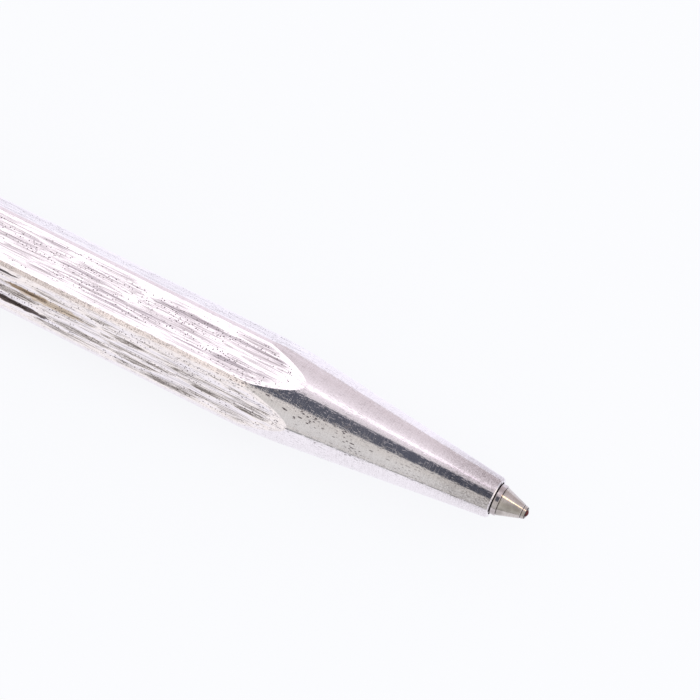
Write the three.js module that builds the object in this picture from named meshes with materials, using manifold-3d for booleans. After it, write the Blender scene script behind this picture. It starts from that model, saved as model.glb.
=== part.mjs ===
// A push-button ballpoint pen with a six-sided metal barrel, lying on one of its flats with the clip on top.
// Millimetres, +Z up. The point faces +X, and the origin is on the surface under the middle of the pen.
// The pen is shown ready to write, with its point out and its button held in by the cam.
//
// Places along the pen are distances behind the rim, the front edge of the barrel where the refill comes out.
// Heights and widths are measured from the pen's axis.

import * as THREE from "three";
import { mergeVertices } from "three/addons/utils/BufferGeometryUtils.js";
import Module from "manifold-3d";

const wasm = await Module();
wasm.setup();

// Fits
const pressFit = 0.04; // radial gap between pieces that are pressed together
const runningFit = 0.1; // radial gap between pieces that slide or turn
const endPlay = 0.3; // lengthwise gap before a stop

// Refill
const refillLength = 98;
const pointReach = 2.85; // how far the ball stands out of the rim when the pen is ready to write
const noseDiameter = 2.6;
const noseReach = 0.5; // how much of the nose stands out of the rim behind the point
const noseEdge = 0.06;
const noseStepRise = 0.33; // how much thicker the nose is inside the spring
const shoulderThickness = 0.6;
const refillDiameter = 5.8;
const refillWall = 0.35;
const spigotLength = 4;
const inkLength = 52;
const plugLength = 3.2;
const plugEdge = 0.3;
const plugSlotWidth = 0.9;
const plugSlotDepth = 0.8;

// Writing point
const pointBase = 2.44;
const pointLength = 2.2;
const ballDiameter = 0.8;
const lipWall = 0.09;
const lipGap = 0.03;
const pointTailLength = 4;
const pointTailDiameter = 1.9;
const inkChannel = 1.4;
const feedHole = 0.36;

// Return spring
const springLength = 10.5; // when the pen is ready to write
const springTurns = 9;
const wireDiameter = 0.35;

// Barrel: a round bar with six flats milled along it and a cone turned on its front
const barrelWall = 0.55; // at the middle of a flat
const cornerRise = 0.465; // how far the round corner bands stand above the height of the flats
const coneLength = 21;
const rimWall = 0.32;
const rimChamfer = 0.1;
const tailChamfer = 0.35;
const refillGap = 0.25; // between the refill and the main bore
const boreTaperLength = 3.1; // where the main bore narrows to the spring's chamber

// Bush in the nose, which guides the refill and seats the spring
const rimToBush = 8;
const bushLength = 3;
const bushWall = 0.6;

// Threaded insert in the tail of the barrel
const insertLength = 10;
const insertWall = 0.3;

// Click mechanism
const retractTravel = 4.5;
const overTravel = 1.2;
const sleeveGap = 0.18; // between the sleeve and the barrel's bore
const sleeveWall = 0.35; // inside the collar
const retainerLength = 0.8;
const camSteps = 3; // lands in the sleeve, and ribs on the rotor and the plunger
const landHeight = 0.45;
const landAngle = 44;
const rotorRibAngle = 24;
const rotorRibLength = 1.6;
const plungerRibAngle = 66;
const plungerRibLength = 1.5;
const guidedRib = 0.6; // how much of each plunger rib is still between the lands when the pen is retracted
const crownTeeth = 6;
const crownDepth = 0.4;
const stemDiameter = 1.6;
const stemLength = 4;

// Collar that screws into the barrel's tail, holds the sleeve and guides the button
const collarWall = 0.38;
const neckLength = 0.8;
const threadPitch = 1;
const threadDepth = 0.16;
const threadTurns = 8;
const flangeThickness = 1.6;
const flangeInset = 0.15; // how far the flange stays inside the flats
const flangeChamfer = 0.25;

// Push button
const buttonWall = 0.66;
const buttonOut = 5.2; // how far the button stands out of the flange when the pen is ready to write
const buttonGuide = 1.35; // how much of the button is still in the collar when the pen is retracted
const buttonCrown = 0.8; // height of the button's domed end

// Clip: a ring clamped under the flange, a tab and a springy arm
const ringThickness = 0.6;
const ringInset = 0.1;
const clipThickness = 0.7;
const clipHeight = 1.5; // gap between the arm and the flat at the root
const clipLength = 40.5;
const clipRootWidth = 3.6;
const clipTipWidth = 2.7;
const clipTipLift = 0.9;
const beadFromTip = 3.4;
const beadGap = 0.06;
const bendGap = 0.1; // between the tab and the arm, at the bend where the clip flexes

// Fineness of the round faces
const roundSides = 32;
const barrelSides = 96;
const smallSides = 24;
const springSteps = 8; // steps in each turn of the spring
const wireSides = 5;
const margin = 1; // how far a cutting tool runs past what it cuts

// Radii of the refill, the spring and the nose, from the inside out
const noseRadius = noseDiameter / 2;
const noseStepRadius = noseRadius + noseStepRise;
const springRadius = noseStepRadius + runningFit + wireDiameter / 2;
const chamberRadius = springRadius + wireDiameter / 2 + runningFit;
const noseBoreRadius = noseRadius + runningFit;
const bushRadius = noseBoreRadius + bushWall;
const rimRadius = noseBoreRadius + rimWall;
const refillRadius = refillDiameter / 2;
const refillInside = refillRadius - refillWall;
const spigotRadius = refillInside - pressFit;
const boreRadius = refillRadius + refillGap;
const flatHeight = boreRadius + barrelWall;
const barRadius = flatHeight + cornerRise;
const coneSlope = (barRadius - rimRadius) / coneLength;

// Radii of the mechanism, from the outside in
const sleeveRadius = boreRadius - sleeveGap;
const insertBoreRadius = sleeveRadius + runningFit;
const insertRadius = insertBoreRadius + insertWall;
const collarInside = sleeveRadius - collarWall;
const sleeveSpigotRadius = collarInside - pressFit;
const sleeveInside = sleeveSpigotRadius - sleeveWall;
const landRadius = sleeveInside - landHeight;
const shaftRadius = landRadius - runningFit;
const ribRadius = sleeveInside - runningFit;
const stemRadius = stemDiameter / 2;
const stemHoleRadius = stemRadius + runningFit;
const bossRadius = landRadius - runningFit / 2;
const cupRadius = bossRadius + pressFit;
const buttonRadius = cupRadius + buttonWall;
const buttonBoreRadius = buttonRadius + runningFit;
const flangeRadius = flatHeight - flangeInset;

// Places in the nose
const bushFront = rimToBush;
const springSeat = bushFront + bushLength;
const noseStepBehind = springSeat + overTravel + endPlay;
const shoulderBehind = springSeat + springLength;
const shoulderBack = shoulderBehind + shoulderThickness;
const boreTaperBack = shoulderBehind - overTravel - 2 * endPlay;
const boreTaperFront = boreTaperBack - boreTaperLength;

// Places in the tail
const refillBack = refillLength - pointReach;
const plugFront = refillBack - plugLength;
const sleeveFront = refillBack + retractTravel + endPlay;
const retainerBack = sleeveFront + retainerLength;
const rotorRibFront = retainerBack + overTravel + endPlay;
const rotorRibBack = rotorRibFront + rotorRibLength;
const landFront = rotorRibBack + endPlay;
const rotorCrown = rotorRibBack + endPlay;
const rotorTeeth = rotorCrown + crownDepth;
const plungerTeeth = rotorTeeth + endPlay;
const plungerCrown = plungerTeeth + crownDepth;
const plungerRibFront = plungerCrown + endPlay;
const plungerRibBack = plungerRibFront + plungerRibLength;
const landBack = plungerRibFront + retractTravel + guidedRib;
const stemBack = rotorTeeth + stemLength;
const neckFront = plungerRibBack + retractTravel + endPlay;
const neckBack = neckFront + neckLength;
const buttonFront = neckBack + overTravel + endPlay;
const flangeBack = buttonFront + retractTravel + buttonGuide;
const ringBack = flangeBack - flangeThickness;
const barrelLength = ringBack - ringThickness;
const insertFront = barrelLength - insertLength;
const collarFront = insertFront + endPlay;
const buttonBack = flangeBack + buttonOut;
const bossBack = buttonBack - buttonCrown - buttonWall;
const clipTip = ringBack - clipLength;

/** One silver-coloured or coloured finish. */
function finish(color, metalness, roughness) {
  return new THREE.MeshStandardMaterial({ color, metalness, roughness });
}

const silverPlate = finish(0xdcd8d6, 1, 0.24);
const brass = finish(0xb9975b, 1, 0.38);
const nickelSilver = finish(0xb5b0a2, 1, 0.3);
const springSteel = finish(0xa9abae, 1, 0.32);
const tubeSteel = finish(0xc2c3c4, 1, 0.34);
const carbide = finish(0x3d2a26, 1, 0.25);
const inkBlue = finish(0x10183a, 0, 0.5);
const plugPlastic = finish(0xd9dcdd, 0, 0.5);
const camPlastic = finish(0xe6e2d8, 0, 0.45);

/** A turned solid about the pen's axis. Each point is [distance behind the rim, radius]. */
function turned(outline, sides = roundSides) {
  const points = outline.map(([behind, radius]) => new THREE.Vector2(radius, -behind));
  if (THREE.ShapeUtils.area(points) < 0) points.reverse();
  if (points[0].x > 0) points.push(points[0].clone());
  return new THREE.LatheGeometry(points, sides).rotateZ(-Math.PI / 2);
}

/** A tube about the pen's axis between two places, or a rod if its inner radius is 0. */
function tube(inner, outer, front, back, sides = roundSides) {
  return turned(
    [
      [front, inner],
      [front, outer],
      [back, outer],
      [back, inner],
    ],
    sides,
  );
}

/** A geometry made from a list of coordinates and a list of each triangle's three corners. */
function meshOf(positions, corners) {
  return new THREE.BufferGeometry()
    .setAttribute("position", new THREE.Float32BufferAttribute(positions, 3))
    .setIndex(corners);
}

/** A straight piece along the pen with a constant cross-section, a shape in Y and Z, between two places. */
function alongPen(shape, front, back) {
  const turn = new THREE.Matrix4().makeBasis(
    new THREE.Vector3(0, 1, 0),
    new THREE.Vector3(0, 0, 1),
    new THREE.Vector3(1, 0, 0),
  );
  return new THREE.ExtrudeGeometry(shape, { depth: back - front, bevelEnabled: false, curveSegments: 6 })
    .applyMatrix4(turn)
    .translate(-back, 0, 0);
}

/** A piece cut across the pen: a shape in X and Z, with its middle on the pen's axis in Y. */
function acrossPen(shape, width) {
  return new THREE.ExtrudeGeometry(shape, { depth: width, bevelEnabled: false })
    .rotateX(Math.PI / 2)
    .translate(0, width / 2, 0);
}

/** The part of a ring between two radii and within an angle, as a shape in Y and Z. Angles are in degrees. */
function ringSector(inner, outer, middle, angle) {
  const from = THREE.MathUtils.degToRad(middle - angle / 2);
  const to = THREE.MathUtils.degToRad(middle + angle / 2);
  const shape = new THREE.Shape();
  shape.absarc(0, 0, outer, from, to, false);
  shape.absarc(0, 0, inner, to, from, true);
  return shape;
}

/** Ribs or lands spread evenly about the axis, as closed geometries. */
function spreadRibs(inner, outer, angle, front, back, firstAngle) {
  return Array.from({ length: camSteps }, (_, i) =>
    alongPen(ringSector(inner, outer, firstAngle + (360 / camSteps) * i, angle), front, back),
  );
}

/** A tube about the axis whose end faces may be toothed: each end is a function of the angle in radians. */
function toothedTube(inner, outer, front, back, sides = smallSides) {
  const positions = [];
  const corners = [];
  for (let i = 0; i < sides; i++) {
    const angle = (i / sides) * 2 * Math.PI;
    const [y, z] = [Math.cos(angle), Math.sin(angle)];
    for (const [behind, radius] of [
      [back(angle), outer],
      [front(angle), outer],
      [front(angle), inner],
      [back(angle), inner],
    ])
      positions.push(-behind, radius * y, radius * z);
  }
  for (let i = 0; i < sides; i++) {
    const [here, next] = [4 * i, 4 * ((i + 1) % sides)];
    for (let j = 0; j < 4; j++) {
      const k = (j + 1) % 4;
      corners.push(here + j, next + j, here + k, next + j, next + k, here + k);
    }
  }
  return meshOf(positions, corners);
}

/** Crown teeth: a place along the pen that zigzags with the angle, by the crown's depth. */
function crown(behind) {
  return (angle) => {
    const share = ((angle * crownTeeth) / (2 * Math.PI)) % 1;
    return behind + crownDepth * Math.abs(1 - 2 * share);
  };
}

/** The solid that a closed geometry bounds, for joining and cutting. */
function solidOf(geometry) {
  const loose = geometry.index ? geometry.toNonIndexed() : geometry;
  const bare = new THREE.BufferGeometry().setAttribute("position", loose.getAttribute("position"));
  const merged = mergeVertices(bare, 1e-4);
  const corners = [];
  for (let i = 0; i < merged.index.count; i += 3) {
    const [a, b, c] = [0, 1, 2].map((k) => merged.index.getX(i + k));
    if (a !== b && b !== c && c !== a) corners.push(a, b, c);
  }
  const vertProperties = merged.attributes.position.array;
  return new wasm.Manifold(new wasm.Mesh({ numProp: 3, vertProperties, triVerts: new Uint32Array(corners) }));
}

/** The geometry of a joined or cut solid. */
function geometryOf(solid) {
  const cut = solid.getMesh();
  const geometry = new THREE.BufferGeometry()
    .setAttribute("position", new THREE.BufferAttribute(new Float32Array(cut.vertProperties), 3))
    .setIndex(new THREE.BufferAttribute(new Uint32Array(cut.triVerts), 1))
    .toNonIndexed();
  geometry.computeVertexNormals();
  return geometry;
}

/** One body made of geometries that overlap. */
function joined(first, ...others) {
  return geometryOf(others.reduce((sum, other) => sum.add(solidOf(other)), solidOf(first)));
}

/** A geometry with others taken out of it. */
function carved(first, ...tools) {
  return geometryOf(tools.reduce((left, tool) => left.subtract(solidOf(tool)), solidOf(first)));
}

/** What two geometries have in common. */
function shared(first, second) {
  return geometryOf(solidOf(first).intersect(solidOf(second)));
}

/** The six-sided section with flats at the top and bottom, each at this height, as a shape in Y and Z. */
function hexagon(height) {
  const shape = new THREE.Shape();
  const corner = height / Math.cos(Math.PI / 6);
  for (let i = 0; i < 6; i++) {
    const angle = (i * Math.PI) / 3;
    const [y, z] = [corner * Math.cos(angle), corner * Math.sin(angle)];
    if (i === 0) shape.moveTo(y, z);
    else shape.lineTo(y, z);
  }
  return shape;
}

/** The barrel: flats and cone outside, and a nose hole, bush seat, spring chamber, bore and tail inside. */
function barrelGeometry() {
  const bar = turned(
    [
      [0, 0],
      [0, rimRadius - rimChamfer],
      [rimChamfer, rimRadius + coneSlope * rimChamfer],
      [coneLength, barRadius],
      [barrelLength - tailChamfer, barRadius],
      [barrelLength, barRadius - tailChamfer],
      [barrelLength, 0],
    ],
    barrelSides,
  );
  const flats = alongPen(hexagon(flatHeight), -margin, barrelLength + margin);
  const inside = turned([
    [-margin, 0],
    [-margin, noseBoreRadius],
    [bushFront, noseBoreRadius],
    [bushFront, bushRadius + pressFit],
    [springSeat, bushRadius + pressFit],
    [springSeat, chamberRadius],
    [boreTaperFront, chamberRadius],
    [boreTaperBack, boreRadius],
    [insertFront, boreRadius],
    [insertFront, insertRadius + pressFit],
    [barrelLength + margin, insertRadius + pressFit],
    [barrelLength + margin, 0],
  ]);
  return geometryOf(solidOf(bar).intersect(solidOf(flats)).subtract(solidOf(inside)));
}

/** The brass bush in the nose. */
function bushGeometry() {
  return tube(noseBoreRadius, bushRadius, bushFront, springSeat);
}

/** The brass tube in the tail, which takes the collar's thread. */
function insertGeometry() {
  return tube(insertBoreRadius, insertRadius, insertFront, barrelLength);
}

/** The refill's nose: a narrow front for the point, a step, a shoulder for the spring and a spigot. */
function noseGeometry() {
  const seatRadius = pointTailDiameter / 2 + pressFit;
  return turned([
    [-noseReach, seatRadius],
    [-noseReach, noseRadius - noseEdge],
    [noseEdge - noseReach, noseRadius],
    [noseStepBehind, noseRadius],
    [noseStepBehind, noseStepRadius],
    [shoulderBehind, noseStepRadius],
    [shoulderBehind, refillRadius],
    [shoulderBack, refillRadius],
    [shoulderBack, spigotRadius],
    [shoulderBack + spigotLength, spigotRadius],
    [shoulderBack + spigotLength, inkChannel / 2],
    [pointTailLength - noseReach, inkChannel / 2],
    [pointTailLength - noseReach, seatRadius],
  ]);
}

/** The writing point: a cone with a socket for the ball at its front and an ink hole through it. */
function pointGeometry() {
  const coneBack = -noseReach;
  const coneFront = coneBack - pointLength;
  const tailBack = coneBack + pointTailLength;
  const ballRadius = ballDiameter / 2;
  const ballMiddle = ballRadius - pointReach;
  const socketRadius = ballRadius + pressFit;
  const ballAtLip = Math.sqrt(ballRadius ** 2 - (ballMiddle - coneFront) ** 2);
  const channelFront = coneBack + pointTailLength / 3;
  return turned(
    [
      [coneFront, ballAtLip + lipGap],
      [coneFront, ballRadius + lipWall],
      [coneBack, pointBase / 2],
      [coneBack, pointTailDiameter / 2],
      [tailBack, pointTailDiameter / 2],
      [tailBack, inkChannel / 2],
      [channelFront, inkChannel / 2],
      [channelFront, feedHole / 2],
      [ballMiddle + socketRadius, feedHole / 2],
      [ballMiddle + socketRadius / 2, socketRadius],
      [ballMiddle - socketRadius / 4, socketRadius],
    ],
    smallSides,
  );
}

/** The ball that writes. */
function ballGeometry() {
  return new THREE.SphereGeometry(ballDiameter / 2, 16, 10).translate(pointReach - ballDiameter / 2, 0, 0);
}

/** The refill's tube. */
function refillTubeGeometry() {
  return tube(refillInside, refillRadius, shoulderBack, plugFront);
}

/** The ink, a full column behind the nose. */
function inkGeometry() {
  const inkFront = shoulderBack + spigotLength;
  return tube(0, spigotRadius, inkFront, inkFront + inkLength);
}

/** The plug that closes the refill, with a cross slot in its back that lets air in. */
function plugGeometry() {
  const plug = turned([
    [plugFront - spigotLength, 0],
    [plugFront - spigotLength, spigotRadius],
    [plugFront, spigotRadius],
    [plugFront, refillRadius],
    [refillBack - plugEdge, refillRadius],
    [refillBack, refillRadius - plugEdge],
    [refillBack, 0],
  ]);
  const slot = new THREE.BoxGeometry(2 * plugSlotDepth, plugSlotWidth, 2 * refillDiameter);
  slot.translate(-refillBack, 0, 0);
  return carved(plug, slot, slot.clone().rotateX(Math.PI / 2));
}

/** The return spring: one unbroken wire from the bush to the refill's shoulder. */
function springGeometry() {
  const wireRadius = wireDiameter / 2;
  const front = springSeat + wireRadius;
  const back = shoulderBehind - wireRadius;
  const steps = springTurns * springSteps;
  const pitch = (back - front) / springTurns;
  const climb = Math.atan2(pitch, 2 * Math.PI * springRadius);
  const positions = [];
  const corners = [];
  for (let i = 0; i <= steps; i++) {
    const angle = (i / springSteps) * 2 * Math.PI;
    const outward = new THREE.Vector3(0, Math.cos(angle), Math.sin(angle));
    const onward = new THREE.Vector3(0, -Math.sin(angle), Math.cos(angle));
    const aside = new THREE.Vector3(Math.cos(climb), 0, 0).addScaledVector(onward, Math.sin(climb));
    const behind = front + (pitch * i) / springSteps;
    const middle = new THREE.Vector3(-behind, 0, 0).addScaledVector(outward, springRadius);
    for (let j = 0; j < wireSides; j++) {
      const around = (j / wireSides) * 2 * Math.PI;
      const point = middle
        .clone()
        .addScaledVector(outward, wireRadius * Math.cos(around))
        .addScaledVector(aside, wireRadius * Math.sin(around));
      positions.push(...point.toArray());
    }
  }
  const ring = (i, j) => i * wireSides + (j % wireSides);
  for (let i = 0; i < steps; i++)
    for (let j = 0; j < wireSides; j++) {
      corners.push(ring(i, j), ring(i + 1, j), ring(i, j + 1));
      corners.push(ring(i, j + 1), ring(i + 1, j), ring(i + 1, j + 1));
    }
  for (let j = 1; j < wireSides - 1; j++) {
    corners.push(ring(0, 0), ring(0, j), ring(0, j + 1));
    corners.push(ring(steps, 0), ring(steps, j + 1), ring(steps, j));
  }
  const leastGap = pitch * Math.cos(climb) - wireDiameter;
  console.log(`spring: least gap between turns ${leastGap.toFixed(2)} mm`);
  return meshOf(positions, corners);
}

/** The collar: a thread and a flange outside, and the sleeve's seat, a neck and the button's bore inside. */
function collarGeometry() {
  const threadFront = collarFront + threadPitch / 2;
  const outline = [
    [collarFront, collarInside],
    [collarFront, sleeveRadius],
    [threadFront, sleeveRadius],
  ];
  for (let i = 0; i < threadTurns; i++) {
    const start = threadFront + i * threadPitch;
    outline.push(
      [start + threadPitch / 4, sleeveRadius - threadDepth],
      [start + threadPitch / 2, sleeveRadius - threadDepth],
      [start + (3 * threadPitch) / 4, sleeveRadius],
      [start + threadPitch, sleeveRadius],
    );
  }
  outline.push(
    [ringBack, sleeveRadius],
    [ringBack, flangeRadius],
    [flangeBack - flangeChamfer, flangeRadius],
    [flangeBack, flangeRadius - flangeChamfer],
    [flangeBack, buttonBoreRadius],
    [neckBack, buttonBoreRadius],
    [neckBack, landRadius],
    [neckFront, landRadius],
    [neckFront, collarInside],
  );
  return turned(outline);
}

/** The cam sleeve: a tube with lands inside it and a spigot that is pressed into the collar. */
function sleeveGeometry() {
  const spigotBack = neckFront - endPlay;
  const wall = turned([
    [sleeveFront, sleeveInside],
    [sleeveFront, sleeveRadius],
    [collarFront, sleeveRadius],
    [collarFront, sleeveSpigotRadius],
    [spigotBack, sleeveSpigotRadius],
    [spigotBack, sleeveInside],
  ]);
  const rootRadius = sleeveInside + sleeveWall / 2;
  const lands = spreadRibs(landRadius, rootRadius, landAngle, landFront, landBack, 180 / camSteps);
  return joined(wall, ...lands);
}

/** The ring pressed into the front of the sleeve, which keeps the rotor in when the refill is out. */
function retainerGeometry() {
  return tube(landRadius, sleeveInside - pressFit, sleeveFront, retainerBack);
}

/** The rotor: a round body that pushes the refill, with ribs, crown teeth and a stem inside the plunger. */
function rotorGeometry() {
  const body = toothedTube(stemRadius / 2, shaftRadius, () => refillBack, crown(rotorCrown));
  const core = tube(0, stemRadius, refillBack, stemBack, smallSides);
  const ribs = spreadRibs(stemRadius, ribRadius, rotorRibAngle, rotorRibFront, rotorRibBack, 0);
  return joined(body, core, ...ribs);
}

/** The plunger: crown teeth at its front, ribs that keep it from turning, and a boss inside the button. */
function plungerGeometry() {
  const holeBack = stemBack + endPlay;
  const front = toothedTube(stemHoleRadius, shaftRadius, crown(plungerTeeth), () => plungerRibBack);
  const shaft = turned(
    [
      [plungerRibFront, stemHoleRadius],
      [plungerRibFront, shaftRadius],
      [buttonFront, shaftRadius],
      [buttonFront, bossRadius],
      [bossBack, bossRadius],
      [bossBack, 0],
      [holeBack, 0],
      [holeBack, stemHoleRadius],
    ],
    smallSides,
  );
  const rootRadius = (stemHoleRadius + shaftRadius) / 2;
  const ribs = spreadRibs(rootRadius, ribRadius, plungerRibAngle, plungerRibFront, plungerRibBack, 0);
  return joined(shaft, front, ...ribs);
}

/** The push button: a cup over the plunger's boss, with a domed end. */
function buttonGeometry() {
  const domeSteps = 6;
  const fullness = 0.4; // under 1 keeps the dome wide and rounds its edge
  const dome = Array.from({ length: domeSteps }, (_, i) => {
    const angle = ((i / domeSteps) * Math.PI) / 2;
    return [buttonBack - buttonCrown * (1 - Math.sin(angle)), buttonRadius * Math.cos(angle) ** fullness];
  });
  return turned([
    [buttonFront, cupRadius],
    [buttonFront, buttonRadius],
    ...dome,
    [buttonBack, 0],
    [bossBack, 0],
    [bossBack, cupRadius],
  ]);
}

/** The clip's ring, clamped between the barrel and the flange, with the tab that rises to the arm. */
function clipRingGeometry() {
  const disc = alongPen(hexagon(flatHeight - ringInset), barrelLength, ringBack);
  const round = tube(0, barRadius - ringInset, barrelLength - margin, ringBack + margin, barrelSides);
  const hole = tube(0, insertBoreRadius, barrelLength - margin, ringBack + margin);
  const tabTop = flatHeight + clipHeight + clipThickness;
  const tabFoot = insertBoreRadius + runningFit;
  const tab = new THREE.BoxGeometry(ringThickness, clipRootWidth, tabTop - tabFoot);
  tab.translate(-(barrelLength + ringThickness / 2), 0, (tabTop + tabFoot) / 2);
  const ring = solidOf(disc).intersect(solidOf(round)).subtract(solidOf(hole));
  return geometryOf(ring.add(solidOf(tab)));
}

/** The clip's arm: level at the root, sloping to the bead that bears on the flat, with its tip turned up. */
function clipArmGeometry() {
  const half = clipThickness / 2;
  const root = flatHeight + clipHeight + half;
  const bead = flatHeight + beadGap + half;
  const rootBehind = barrelLength - bendGap;
  const beadBehind = clipTip + beadFromTip;
  const line = new THREE.CatmullRomCurve3(
    [
      [rootBehind, root],
      [rootBehind - 0.2 * clipLength, root - 0.05 * clipHeight],
      [rootBehind - 0.55 * clipLength, root - 0.35 * clipHeight],
      [beadBehind + 0.5 * beadFromTip, bead + 0.3 * clipHeight],
      [beadBehind, bead],
      [clipTip, bead + clipTipLift],
    ].map(([behind, height]) => new THREE.Vector3(-behind, 0, height)),
  );
  const steps = 24;
  const upper = [];
  const lower = [];
  for (let i = 0; i <= steps; i++) {
    const middle = line.getPoint(i / steps);
    const along = line.getTangent(i / steps);
    upper.push(new THREE.Vector2(middle.x - half * along.z, middle.z + half * along.x));
    lower.push(new THREE.Vector2(middle.x + half * along.z, middle.z - half * along.x));
  }
  upper[0].x = -rootBehind;
  lower[0].x = -rootBehind;
  const side = new THREE.Shape([...lower, ...upper.reverse()]);
  const tipRadius = clipTipWidth / 2;
  const plan = new THREE.Shape();
  plan.moveTo(-barrelLength, -clipRootWidth / 2);
  plan.lineTo(-clipTip - tipRadius, -tipRadius);
  plan.absarc(-clipTip - tipRadius, 0, tipRadius, -Math.PI / 2, Math.PI / 2, false);
  plan.lineTo(-barrelLength, clipRootWidth / 2);
  const depth = clipHeight + clipTipLift + 4 * clipThickness;
  const block = new THREE.ExtrudeGeometry(plan, { depth, bevelEnabled: false, curveSegments: 8 });
  block.translate(0, 0, flatHeight - clipThickness);
  return shared(acrossPen(side, clipRootWidth + 2 * margin), block);
}

/** One named piece of the pen. */
function piece(name, geometry, material) {
  const mesh = new THREE.Mesh(geometry, material);
  mesh.name = name;
  return mesh;
}

/** A group of pieces that stay together. */
function assembly(...pieces) {
  const group = new THREE.Group();
  group.add(...pieces);
  return group;
}

const barrelGroup = assembly(
  piece("barrel", barrelGeometry(), silverPlate),
  piece("nose_bush", bushGeometry(), brass),
  piece("thread_insert", insertGeometry(), brass),
  piece("return_spring", springGeometry(), springSteel),
);

const clipGroup = assembly(
  piece("clip_ring", clipRingGeometry(), silverPlate),
  piece("clip_arm", clipArmGeometry(), silverPlate),
);

const refillGroup = assembly(
  piece("refill_nose", noseGeometry(), nickelSilver),
  piece("writing_point", pointGeometry(), nickelSilver),
  piece("writing_ball", ballGeometry(), carbide),
  piece("refill_tube", refillTubeGeometry(), tubeSteel),
  piece("refill_plug", plugGeometry(), plugPlastic),
  piece("ink_column", inkGeometry(), inkBlue),
);

const mechanismGroup = assembly(
  piece("end_collar", collarGeometry(), silverPlate),
  piece("cam_sleeve", sleeveGeometry(), camPlastic),
  piece("rotor_retainer", retainerGeometry(), brass),
  piece("cam_rotor", rotorGeometry(), camPlastic),
  piece("plunger", plungerGeometry(), camPlastic),
  piece("push_button", buttonGeometry(), silverPlate),
);

const pen = assembly(barrelGroup, clipGroup, refillGroup, mechanismGroup);
pen.position.set((buttonBack - pointReach) / 2, 0, flatHeight);

export default pen;
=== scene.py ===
"""Looks of a push-button ballpoint pen with an engraved six-sided silver barrel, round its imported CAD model.

Metres, +Z up. The pen lies on one of its flats, with its point towards +X and its clip on top. Pieces are
made about the pen's own axis, with the rim, the front edge of the barrel, at zero. So a place along the pen
is a distance behind the rim, and a height or a radius is measured from the axis. A finished piece is then
put where the CAD model has it. The refill's rear and the pieces inside the pen stay as that model has them.
"""

import logging
import math
import random
from dataclasses import dataclass, replace
from enum import Enum
from typing import Callable, Sequence

import bmesh
import bpy
from mathutils import Matrix, Vector


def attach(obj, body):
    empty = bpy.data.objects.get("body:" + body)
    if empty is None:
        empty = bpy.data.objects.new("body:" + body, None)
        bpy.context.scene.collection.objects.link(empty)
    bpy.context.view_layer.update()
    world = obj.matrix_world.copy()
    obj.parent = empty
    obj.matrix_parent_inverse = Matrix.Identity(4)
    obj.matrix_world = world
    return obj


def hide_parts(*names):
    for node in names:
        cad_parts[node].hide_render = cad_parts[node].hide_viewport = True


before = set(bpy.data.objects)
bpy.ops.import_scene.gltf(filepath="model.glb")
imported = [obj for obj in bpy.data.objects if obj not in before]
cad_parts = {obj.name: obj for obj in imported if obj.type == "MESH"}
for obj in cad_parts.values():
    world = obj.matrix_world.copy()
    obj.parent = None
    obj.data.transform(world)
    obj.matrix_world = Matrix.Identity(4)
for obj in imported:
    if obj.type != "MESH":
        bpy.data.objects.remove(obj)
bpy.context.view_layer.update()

Piece = bpy.types.Object
Socket = bpy.types.NodeSocket
Pair = tuple[float, float]
Outline = Sequence[Pair]
Colour = tuple[float, float, float, float]

LOG = logging.getLogger("pen")
MM = 0.001
RIM = Vector((61.175 * MM, 0.0, 3.7 * MM))  # the middle of the rim: where the pieces' own zero goes
FINE_SIDES = 96
SAME = 1e-6  # how close two places are that count as one

# How the six flats face, from +Y towards +Z. The second one faces up.
TURNS = [math.radians(30 + 60 * i) for i in range(6)]
HEXAGON = [Vector((0, math.cos(turn), math.sin(turn))) for turn in TURNS]


# The bench: hand tools that every piece is made with


def deselect_all() -> None:
    """Clears the selection, which the CAD nodes hold after loading."""
    for thing in bpy.context.selected_objects:
        thing.select_set(False)


def take(piece: Piece) -> None:
    """Makes one piece the only selected one and the active one.

    Args:
        piece: The piece.
    """
    deselect_all()
    piece.select_set(True)
    bpy.context.view_layer.objects.active = piece


def open_mesh(piece: Piece, action: str = "DESELECT") -> None:
    """Opens a piece in edit mode.

    Args:
        piece: The piece.
        action: DESELECT for nothing selected, SELECT for everything.
    """
    take(piece)
    bpy.ops.object.mode_set(mode="EDIT")
    bpy.ops.mesh.select_all(action=action)


def close_mesh() -> None:
    """Leaves edit mode."""
    bpy.ops.object.mode_set(mode="OBJECT")


def choose(piece: Piece, wanted: Callable[[object], bool], kind: str = "FACE") -> None:
    """Selects the faces or the edges of the open mesh that pass a test, and nothing else.

    Args:
        piece: The piece that is open in edit mode.
        wanted: The test of a face or an edge.
        kind: FACE or EDGE.
    """
    bpy.ops.mesh.select_mode(type=kind)
    sheet = bmesh.from_edit_mesh(piece.data)
    parts = sheet.faces if kind == "FACE" else sheet.edges
    chosen = [part for part in parts if wanted(part)]
    for part in parts:
        part.select_set(False)
    for part in chosen:
        part.select_set(True)
    bmesh.update_edit_mesh(piece.data, loop_triangles=False, destructive=False)


def face_out() -> None:
    """Turns the faces of the open mesh outwards."""
    bpy.ops.mesh.select_all(action="SELECT")
    bpy.ops.mesh.normals_make_consistent(inside=False)


def draw_on(before: float, x: float, rise_by: float = 0.0) -> None:
    """Draws the selected ring or edge on from one place along the pen to another."""
    bpy.ops.mesh.extrude_region_move(TRANSFORM_OT_translate={"value": (x - before, 0, rise_by)})


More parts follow.
